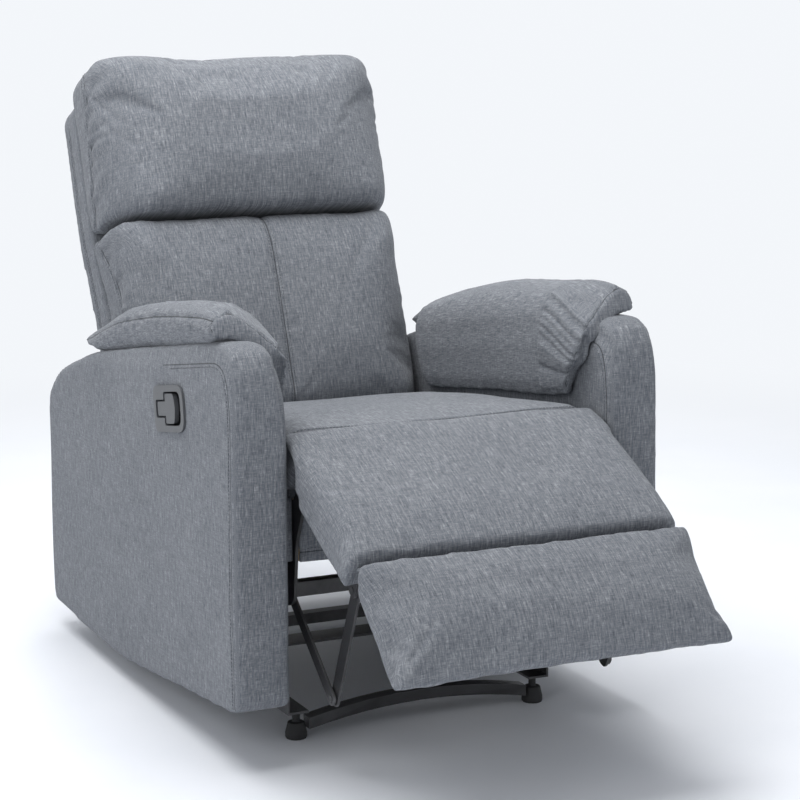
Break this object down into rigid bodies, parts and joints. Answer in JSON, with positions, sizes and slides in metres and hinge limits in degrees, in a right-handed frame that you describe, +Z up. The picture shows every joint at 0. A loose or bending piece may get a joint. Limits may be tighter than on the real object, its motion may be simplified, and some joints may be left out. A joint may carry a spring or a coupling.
{
  "type": "recliner armchair",
  "caption": "Upholstered recliner armchair on a low steel base, with a reclining back, padded arms, a side release handle and a two-panel footrest on a folding linkage.",
  "frame": {"origin": "on the floor, under the middle of the chair's width and length with the footrest part-way out", "axes": "+Z up; the sitter faces -Y; +X is the sitter's left"},
  "size_m": [0.717, 1.442, 1.037],
  "materials": {
    "grey_fabric": "heather grey linen-look weave over foam and fibre",
    "black_steel": "satin black powder coat",
    "spring_steel": "bright zinc plated",
    "plywood": "raw plywood and pine",
    "handle_plastic": "fine satin moulded plastic",
    "glide_rubber": "matt black",
    "cable_sleeve": "satin black sleeve"
  },
  "bodies": {
    "base": {"glide_front_left": "glide_rubber", "glide_front_right": "glide_rubber", "glide_rear_left": "glide_rubber", "glide_rear_right": "glide_rubber", "base_rail_left": "black_steel", "base_rail_right": "black_steel", "tilt_upright_left": "black_steel", "tilt_upright_right": "black_steel", "base_tube_front": "black_steel", "base_tube_rear": "black_steel", "base_cross_plate": "black_steel"},
    "seat_unit": {"mechanism_plate_left": "black_steel", "mechanism_plate_right": "black_steel", "torque_tube": "black_steel", "rear_cross_tube": "black_steel", "seat_rail_left": "plywood", "seat_rail_right": "plywood", "seat_front_rail": "plywood", "seat_rear_rail": "plywood", "seat_spring_1": "spring_steel", "seat_spring_2": "spring_steel", "seat_spring_3": "spring_steel", "seat_spring_4": "spring_steel", "seat_front_valance": "grey_fabric", "back_hinge_seat_plate_left": "black_steel", "back_hinge_seat_plate_right": "black_steel", "extension_spring_left": "spring_steel", "extension_spring_right": "spring_steel", "arm_cover_left": "grey_fabric", "arm_cover_right": "grey_fabric", "arm_panel_left": "plywood", "arm_panel_right": "plywood", "handle_bezel": "handle_plastic", "release_cable": "cable_sleeve", "arm_pad_left": "grey_fabric", "arm_pad_right": "grey_fabric", "seat_cushion": "grey_fabric", "rear_panel": "grey_fabric"},
    "back": {"back_cover": "grey_fabric", "back_board": "plywood", "lumbar_cushion": "grey_fabric", "head_cushion": "grey_fabric", "back_hinge_back_plate_left": "black_steel", "back_hinge_back_plate_right": "black_steel"},
    "calf_panel": {"calf_board": "plywood", "calf_pad": "grey_fabric", "calf_bracket_left": "black_steel", "calf_bracket_right": "black_steel"},
    "foot_panel": {"foot_board": "plywood", "foot_pad": "grey_fabric", "foot_bracket_left": "black_steel", "foot_bracket_right": "black_steel"},
    "lower_links": {"link_lower_left": "black_steel", "link_lower_right": "black_steel"},
    "upper_links": {"link_upper_left": "black_steel", "link_upper_right": "black_steel"},
    "paddle": {"release_paddle": "handle_plastic"}
  },
  "joints": [
    {"name": "seat_tilt", "type": "hinge", "parent": "base", "child": "seat_unit", "pos_m": [0, 0.00126, 0.14], "axis": [-1, 0, 0], "range_deg": [-2.3, 1.2]},
    {"name": "footrest", "type": "hinge", "parent": "seat_unit", "child": "calf_panel", "pos_m": [0, -0.34274, 0.425], "axis": [-1, 0, 0], "range_deg": [-46, 22]},
    {"name": "foot_fold", "type": "hinge", "parent": "calf_panel", "child": "foot_panel", "pos_m": [0, -0.55832, 0.33321], "axis": [-1, 0, 0], "range_deg": [-34.1, 16.4]},
    {"name": "lower_link_swing", "type": "hinge", "parent": "seat_unit", "child": "lower_links", "pos_m": [0, -0.26374, 0.245], "axis": [-1, 0, 0], "range_deg": [-46, 22]},
    {"name": "upper_link_swing", "type": "hinge", "parent": "lower_links", "child": "upper_links", "pos_m": [0, -0.41836, 0.12175], "axis": [-1, 0, 0], "range_deg": [-22, 46]},
    {"name": "back_recline", "type": "hinge", "parent": "seat_unit", "child": "back", "pos_m": [0, 0.32626, 0.385], "axis": [-1, 0, 0], "range_deg": [0, 34]},
    {"name": "paddle_pull", "type": "hinge", "parent": "seat_unit", "child": "paddle", "pos_m": [-0.348, -0.05033, 0.49935], "axis": [0, -0.153, -0.9882], "range_deg": [0, 28], "stiffness_Nm_per_rad": 0.6}
  ],
  "couplings": [
    {"joint": "foot_fold", "follows": "footrest", "ratio": 0.74},
    {"joint": "lower_link_swing", "follows": "footrest", "ratio": 1},
    {"joint": "upper_link_swing", "follows": "footrest", "ratio": -1},
    {"joint": "seat_tilt", "follows": "footrest", "ratio": 0.048}
  ]
}
